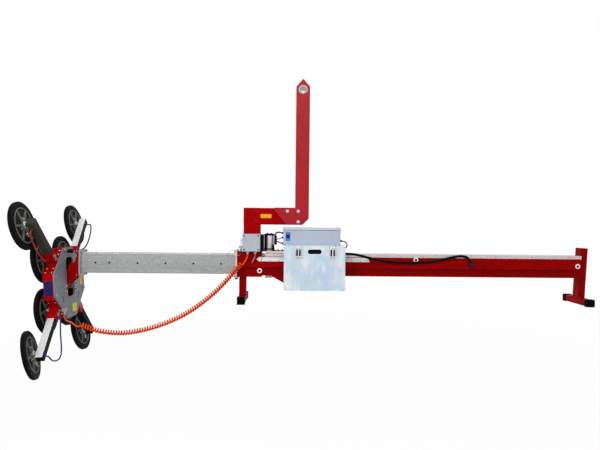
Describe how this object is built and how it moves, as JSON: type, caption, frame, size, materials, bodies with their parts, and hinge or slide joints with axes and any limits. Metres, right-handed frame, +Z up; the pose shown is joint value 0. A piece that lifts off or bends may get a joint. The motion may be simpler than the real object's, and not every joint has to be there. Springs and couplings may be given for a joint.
{
  "type": "glass panel lifter",
  "caption": "Crane-hung counterbalance vacuum lifter: beam with telescoping arm, tilting and turning suction head, sliding counterweight cart and spiral air hose.",
  "frame": {"origin": "centre of the lifting eye's bore in the head of the mast", "axes": "+X along the beam from the suction head to the tail, +Y across the beam along the eye's bore and away from the door's side, +Z up"},
  "size_m": [3.9565, 1.1609, 2.0652],
  "materials": {
    "red_paint": "gloss enamel",
    "grey_paint": "satin enamel",
    "pale_paint": "satin powder coat",
    "galvanised": "galvanised",
    "bare_steel": "plain",
    "chrome": "plated",
    "pale_plastic": "moulded",
    "black_plastic": "moulded",
    "orange_hose": "translucent",
    "black_cable": "smooth",
    "pad_rubber": "moulded",
    "wheel_tread": "smooth",
    "strip_print": "printed",
    "dark_iron": "painted"
  },
  "bodies": {
    "frame": {"main_beam": "red_paint", "top_rail": "galvanised", "beam_sleeve": "red_paint", "mouth_flange": "galvanised", "guide_pads": "black_plastic", "gooseneck": "red_paint", "mast": "red_paint", "eye_bush": "bare_steel", "mast_bolts": "bare_steel", "front_stand": "red_paint", "rear_stand": "red_paint", "foot_caps": "black_plastic", "junction_box": "pale_plastic", "cable_glands": "pale_plastic", "hose_bracket": "red_paint", "beam_fittings": "bare_steel", "scale_strip": "strip_print", "cart_cable": "black_cable", "thin_leads": "bare_steel", "spiral_hose": "orange_hose"},
    "lock": {"locking_pin": "bare_steel"},
    "cart": {"cart_saddle": "red_paint", "counterweight_plates": "red_paint", "chest_body": "pale_paint", "chest_equipment": "dark_iron", "control_box": "pale_paint", "control_box_lid": "pale_paint", "drive_gearbox": "dark_iron", "drive_motor": "chrome", "cart_leads": "black_cable"},
    "front_wheel": {"drive_wheel": "wheel_tread"},
    "back_wheel": {"idler_wheel": "wheel_tread"},
    "left_roller": {"lower_roller_left": "bare_steel"},
    "right_roller": {"lower_roller_right": "bare_steel"},
    "door": {"chest_door": "pale_paint"},
    "left_latch": {"latch_left": "chrome"},
    "right_latch": {"latch_right": "chrome"},
    "arm": {"extension_arm": "galvanised", "head_bracket": "red_paint", "flange_bolts": "bare_steel", "tilt_pin": "bare_steel", "arm_tail_pads": "black_plastic"},
    "tilt_head": {"back_plate": "grey_paint", "lock_knob": "black_plastic", "hose_fitting": "bare_steel"},
    "rotor": {"head_housing": "red_paint", "pad_studs": "bare_steel", "pad_hoses": "orange_hose"},
    "ext_near_upper": {"extension_near_upper": "galvanised"},
    "main_near_upper": {"main_pad_near_upper": "pad_rubber"},
    "outer_near_upper": {"outer_pad_near_upper": "pad_rubber"},
    "ext_near_lower": {"extension_near_lower": "galvanised"},
    "main_near_lower": {"main_pad_near_lower": "pad_rubber"},
    "outer_near_lower": {"outer_pad_near_lower": "pad_rubber"},
    "ext_far_upper": {"extension_far_upper": "galvanised"},
    "main_far_upper": {"main_pad_far_upper": "pad_rubber"},
    "outer_far_upper": {"outer_pad_far_upper": "pad_rubber"},
    "ext_far_lower": {"extension_far_lower": "galvanised"},
    "main_far_lower": {"main_pad_far_lower": "pad_rubber"},
    "outer_far_lower": {"outer_pad_far_lower": "pad_rubber"}
  },
  "joints": [
    {"name": "lock_pin", "type": "slide", "parent": "frame", "child": "lock", "axis": [0, 0, 1], "range_m": [-0.02, 0]},
    {"name": "cart_slide", "type": "slide", "parent": "frame", "child": "cart", "axis": [1, 0, 0], "range_m": [0, 1.6], "deforming": ["cart_cable"]},
    {"name": "drive_wheel_spin", "type": "hinge", "parent": "cart", "child": "front_wheel", "pos_m": [-0.06, 0, -1.1517], "axis": [0, 1, 0], "continuous": true},
    {"name": "idler_wheel_spin", "type": "hinge", "parent": "cart", "child": "back_wheel", "pos_m": [0.234, 0, -1.1517], "axis": [0, 1, 0], "continuous": true},
    {"name": "left_roller_spin", "type": "hinge", "parent": "cart", "child": "left_roller", "pos_m": [-0.251, 0.01, -1.3483], "axis": [0, 1, 0], "continuous": true},
    {"name": "right_roller_spin", "type": "hinge", "parent": "cart", "child": "right_roller", "pos_m": [-0.225, 0.01, -1.3483], "axis": [0, 1, 0], "continuous": true},
    {"name": "door_hinge", "type": "hinge", "parent": "cart", "child": "door", "pos_m": [0.0855, -0.253, -1.416], "axis": [1, 0, 0], "range_deg": [0, 95]},
    {"name": "left_latch_hinge", "type": "hinge", "parent": "door", "child": "left_latch", "pos_m": [-0.026, -0.261, -1.186], "axis": [1, 0, 0], "range_deg": [0, 120]},
    {"name": "right_latch_hinge", "type": "hinge", "parent": "door", "child": "right_latch", "pos_m": [0.208, -0.261, -1.186], "axis": [1, 0, 0], "range_deg": [0, 120]},
    {"name": "arm_slide", "type": "slide", "parent": "frame", "child": "arm", "axis": [1, 0, 0], "range_m": [0, 0.8], "deforming": ["spiral_hose"]},
    {"name": "head_tilt", "type": "hinge", "parent": "arm", "child": "tilt_head", "pos_m": [-1.702, 0, -1.416], "axis": [0, -1, 0], "range_deg": [-4, 86], "deforming": ["spiral_hose"]},
    {"name": "head_spin", "type": "hinge", "parent": "tilt_head", "child": "rotor", "pos_m": [-1.70298, 0, -1.40203], "axis": [0.9976, 0, 0.0698], "continuous": true},
    {"name": "near_upper_extend", "type": "slide", "parent": "rotor", "child": "ext_near_upper", "axis": [-0.0493, -0.7071, 0.7054], "range_m": [0, 0.12], "deforming": ["pad_hoses"]},
    {"name": "near_lower_extend", "type": "slide", "parent": "rotor", "child": "ext_near_lower", "axis": [0.0493, -0.7071, -0.7054], "range_m": [0, 0.12], "deforming": ["pad_hoses"]},
    {"name": "far_upper_extend", "type": "slide", "parent": "rotor", "child": "ext_far_upper", "axis": [-0.0493, 0.7071, 0.7054], "range_m": [0, 0.12], "deforming": ["pad_hoses"]},
    {"name": "far_lower_extend", "type": "slide", "parent": "rotor", "child": "ext_far_lower", "axis": [0.0493, 0.7071, -0.7054], "range_m": [0, 0.12]},
    {"name": "near_upper_main_swivel", "type": "hinge", "parent": "rotor", "child": "main_near_upper", "pos_m": [-1.77917, -0.166, -1.22993], "axis": [0, 1, 0], "range_deg": [0, 10]},
    {"name": "near_upper_outer_swivel", "type": "hinge", "parent": "ext_near_upper", "child": "outer_near_upper", "pos_m": [-1.79605, -0.41908, -0.98844], "axis": [0, 1, 0], "range_deg": [0, 12]},
    {"name": "near_lower_main_swivel", "type": "hinge", "parent": "rotor", "child": "main_near_lower", "pos_m": [-1.75447, -0.166, -1.58307], "axis": [0, 1, 0], "range_deg": [0, 10]},
    {"name": "near_lower_outer_swivel", "type": "hinge", "parent": "ext_near_lower", "child": "outer_near_lower", "pos_m": [-1.73759, -0.41908, -1.82455], "axis": [0, 1, 0], "range_deg": [0, 12]},
    {"name": "far_upper_main_swivel", "type": "hinge", "parent": "rotor", "child": "main_far_upper", "pos_m": [-1.77917, 0.166, -1.22993], "axis": [0, 1, 0], "range_deg": [0, 10]},
    {"name": "far_upper_outer_swivel", "type": "hinge", "parent": "ext_far_upper", "child": "outer_far_upper", "pos_m": [-1.79605, 0.41908, -0.98844], "axis": [0, 1, 0], "range_deg": [0, 12]},
    {"name": "far_lower_main_swivel", "type": "hinge", "parent": "rotor", "child": "main_far_lower", "pos_m": [-1.75447, 0.166, -1.58307], "axis": [0, 1, 0], "range_deg": [0, 10]},
    {"name": "far_lower_outer_swivel", "type": "hinge", "parent": "ext_far_lower", "child": "outer_far_lower", "pos_m": [-1.73759, 0.41908, -1.82455], "axis": [0, 1, 0], "range_deg": [0, 12]}
  ],
  "couplings": [
    {"joint": "drive_wheel_spin", "follows": "cart_slide", "rad_per_m": 41.667},
    {"joint": "idler_wheel_spin", "follows": "cart_slide", "rad_per_m": 41.667},
    {"joint": "left_roller_spin", "follows": "cart_slide", "rad_per_m": -90.909},
    {"joint": "right_roller_spin", "follows": "cart_slide", "rad_per_m": -90.909}
  ]
}
